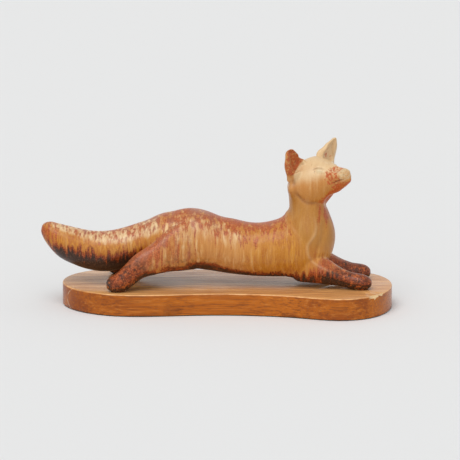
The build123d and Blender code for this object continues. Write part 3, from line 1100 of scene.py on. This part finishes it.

# %% [markdown]
# ## The wood
#
# Grain is noise stretched along X. Broad bands give the warm ground, finer fibres and
# pores go over it. The top is painted paler, a painted reflection of the bright surround in
# its varnish. Its rounded edge is painted pale along parts of its length, partly rubbed wear
# and partly a painted highlight. The chips show raw wood, and a thin scratch runs down over
# the left end.

# %% Bands, fibres and pores
wood, tree, finish = new_material("varnished_wood")
place = object_place(tree)
band = noise(tree, stretched(tree, place, (0.05, 1, 1)), 70, 3, 0.5, 0.5)
fibre = noise(tree, stretched(tree, place, (0.035, 1, 1), (0.2, 0, 0)), 620, 4, 0.65)
pores = noise(tree, stretched(tree, place, (0.07, 1, 1), (0.5, 0.3, 0)), 1500, 2, 0.5)
dark_fibre = colour(112, 56, 20)
light_fibre = colour(206, 134, 62)
pore_brown = colour(74, 40, 18)
wood_colour = layers(
    tree, blend(tree, step_up(tree, band, 0.3, 0.7), colour(146, 70, 8), colour(186, 102, 18)),
    (times(tree, step_up(tree, fibre, 0.48, 0.68), 0.66), dark_fibre),
    (times(tree, step_up(tree, fibre, 0.46, 0.32), 0.46), light_fibre),
    (times(tree, step_up(tree, pores, 0.6, 0.72), 0.5), pore_brown),
)
print("wood nodes so far:", len(tree.nodes))

# %% The top painted paler as a reflection, the edge pale with wear and a painted highlight
# The pale of the worn edge, which also stands in for a painted highlight along it.
rubbed_pale_and_highlight = colour(236, 184, 124)
spot = tree.nodes.new("ShaderNodeSeparateXYZ")
feed(tree, spot.inputs[0], place)
below_top = sums(tree, "SUBTRACT", board_top, spot.outputs["Z"])
# Painted reflection: the top face is painted paler, in place of the bright surround's sheen on the varnish.
top_painted_reflection = blend(tree, step_up(tree, fibre, 0.34, 0.66), colour(236, 178, 112), colour(178, 118, 70))
top_painted_reflection_share = step_up(tree, below_top, 0.9 * mm, 0.1 * mm, 0, 0.92)
above_side = step_up(tree, below_top, 1 * mm, 0.7 * mm)
# Painted highlight and wear: the rounded edge is painted pale in patches, partly rubbed varnish, partly the
# highlight along it.
rim_wear_and_highlight = times(tree, above_side, step_up(tree, below_top, 0, 0.12 * mm))
rub_and_highlight = step_up(tree, noise(tree, place, 60, 5, 0.65), 0.4, 0.6, 0.15, 0.9)
wood_colour = layers(tree, wood_colour, (top_painted_reflection_share, top_painted_reflection), (times(tree, rim_wear_and_highlight, rub_and_highlight), rubbed_pale_and_highlight))
print("with the top:", len(tree.nodes))

# %% Raw wood in the chips, and the scratch over the left end
scratch_start = -136.8 * mm
scratch_lean = -1.02
scratch_curve = 48
scratch_pale = colour(226, 196, 160)
raw = blend(tree, fibre, colour(204, 162, 108), colour(238, 208, 160))
arc = times_plus(tree, times(tree, below_top, below_top), scratch_curve, scratch_start)
arc = times_plus(tree, below_top, scratch_lean, arc)
off_arc = sums(tree, "ABSOLUTE", sums(tree, "SUBTRACT", spot.outputs["X"], arc))
scratch = step_up(tree, off_arc, 0.5 * mm, 0.1 * mm)
scratch = times(tree, scratch, step_up(tree, spot.outputs["Y"], -8 * mm, -14 * mm))
scratch = times(tree, scratch, step_up(tree, noise(tree, place, 400), 0.38, 0.6))
scratch = times(tree, scratch, 0.6)
wood_colour = layers(tree, wood_colour, (mask(tree, "bare"), raw), (scratch, scratch_pale))
print("with the wear:", len(tree.nodes))

# %% The varnish
feed_named(
    tree, finish,
    Base_Color=wood_colour,
    Roughness=step_up(tree, fibre, 0.3, 0.7, 0.12, 0.38),
    Normal=bump(tree, plus(tree, fibre, pores), 0.2, 0.08 * mm),
    Specular_IOR_Level=0.28,
)
dress(board, wood)
print("varnished:", board.name)

# %% [markdown]
# ## The small hidden parts
#
# A felt pad protects the table, and four screws with washers hold the paws through
# threaded inserts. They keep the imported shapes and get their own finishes. The steel
# and the brass were both turned on a lathe, so they share one node group: an effect
# that is built once, with a place going in and the fine turning marks coming out.

# %% Felt
felt, tree, finish = new_material("pressed_felt")
fuzz = noise(tree, object_place(tree), 2200, 4, 0.7)
feed_named(
    tree, finish,
    Base_Color=blend(tree, fuzz, colour(38, 58, 44), colour(70, 96, 76)),
    Normal=bump(tree, fuzz, 0.6, 0.2 * mm),
    Roughness=0.95,
    Sheen_Weight=0.4,
)
dress(nodes["base_felt"], felt)
print("felt nodes:", len(tree.nodes))

# %% The turning marks that both metals share
turning_marks = bpy.data.node_groups.new("turning_marks", "ShaderNodeTree")
turning_marks.interface.new_socket("Place", in_out="INPUT", socket_type="NodeSocketVector")
turning_marks.interface.new_socket("Marks", in_out="OUTPUT", socket_type="NodeSocketFloat")
group_in = turning_marks.nodes.new("NodeGroupInput")
group_out = turning_marks.nodes.new("NodeGroupOutput")
squeezed = stretched(turning_marks, group_in.outputs["Place"], (1, 1, 6))
feed_named(turning_marks, group_out, Marks=noise(turning_marks, squeezed, 900, 3, 0.6))
print("nodes in the group:", len(turning_marks.nodes))


# %% Steel and brass
def metal(name, low, high, rough_low, rough_high):
    material, tree, finish = new_material(name)
    turning = tree.nodes.new("ShaderNodeGroup")
    turning.node_tree = turning_marks
    feed_named(tree, turning, Place=object_place(tree))
    marks = turning.outputs["Marks"]
    feed_named(
        tree, finish,
        Base_Color=blend(tree, marks, low, high),
        Roughness=step_up(tree, marks, 0.3, 0.7, rough_low, rough_high),
        Normal=bump(tree, marks, 0.2, 0.05 * mm),
        Metallic=1,
    )
    return material


steel = metal("turned_steel", colour(150, 150, 152), colour(188, 188, 190), 0.28, 0.42)
brass = metal("turned_brass", colour(176, 136, 66), colour(214, 176, 100), 0.25, 0.4)
metal_of = {"_screw": steel, "_washer": steel, "_insert": brass}
metal_parts = 0
for name, node in nodes.items():
    for ending, material in metal_of.items():
        if name.endswith(ending):
            dress(node, material)
            metal_parts += 1
print("metal parts:", metal_parts)

# %% [markdown]
# ## The studio
#
# A pale floor that runs far back, a soft lamp from above, a weaker one in front and a
# bright, even surround. The camera and the reflections see it brighter than it lights
# the object, so that the forms keep their shade.

# %% The floor
floor_size = 16
floor_shift = 3
bpy.ops.object.select_all(action="DESELECT")
bpy.ops.mesh.primitive_plane_add(size=floor_size, location=(0, floor_shift, 0))
floor = bpy.context.object
floor.name = "studio_floor"
paper, tree, finish = new_material("backdrop_paper")
paper_grain = noise(tree, object_place(tree), 300)
paper_colour = blend(tree, paper_grain, (0.79, 0.795, 0.795, 1), (0.80, 0.805, 0.805, 1))
feed_named(tree, finish, Base_Color=paper_colour, Roughness=0.9, Specular_IOR_Level=0.1)
dress(floor, paper)
print("floor:", floor_size, "m square")


# %% The lamps
def add_lamp(name, tilt, lean, energy, spread):
    bpy.ops.object.light_add(type="SUN", rotation=(math.radians(tilt), math.radians(lean), 0))
    lamp = bpy.context.object
    lamp.name = name
    lamp.data.energy = energy
    lamp.data.angle = math.radians(spread)
    return lamp


lamps = [
    add_lamp("soft_overhead_lamp", tilt=24, lean=-12, energy=1.26, spread=40),
    add_lamp("front_lamp", tilt=55, lean=-8, energy=0.6, spread=60),
]
print("lamps:", [lamp.name for lamp in lamps])

# %% The surround
lighting_grey = (0.54, 0.54, 0.54, 1)
seen_grey = (0.8, 0.8, 0.8, 1)
world = bpy.data.worlds.new("studio_surround")
bpy.context.scene.world = world
world.use_nodes = True
tree = world.node_tree
back = tree.nodes["Background"]
rays = tree.nodes.new("ShaderNodeLightPath")
seen = sums(tree, "MAXIMUM", rays.outputs["Is Camera Ray"], rays.outputs["Is Glossy Ray"])
seen = sums(tree, "MAXIMUM", seen, rays.outputs["Is Transmission Ray"])
feed_named(tree, back, Color=blend(tree, seen, lighting_grey, seen_grey), Strength=1)
bpy.context.scene.view_settings.view_transform = "Standard"
print("surround nodes:", len(tree.nodes))
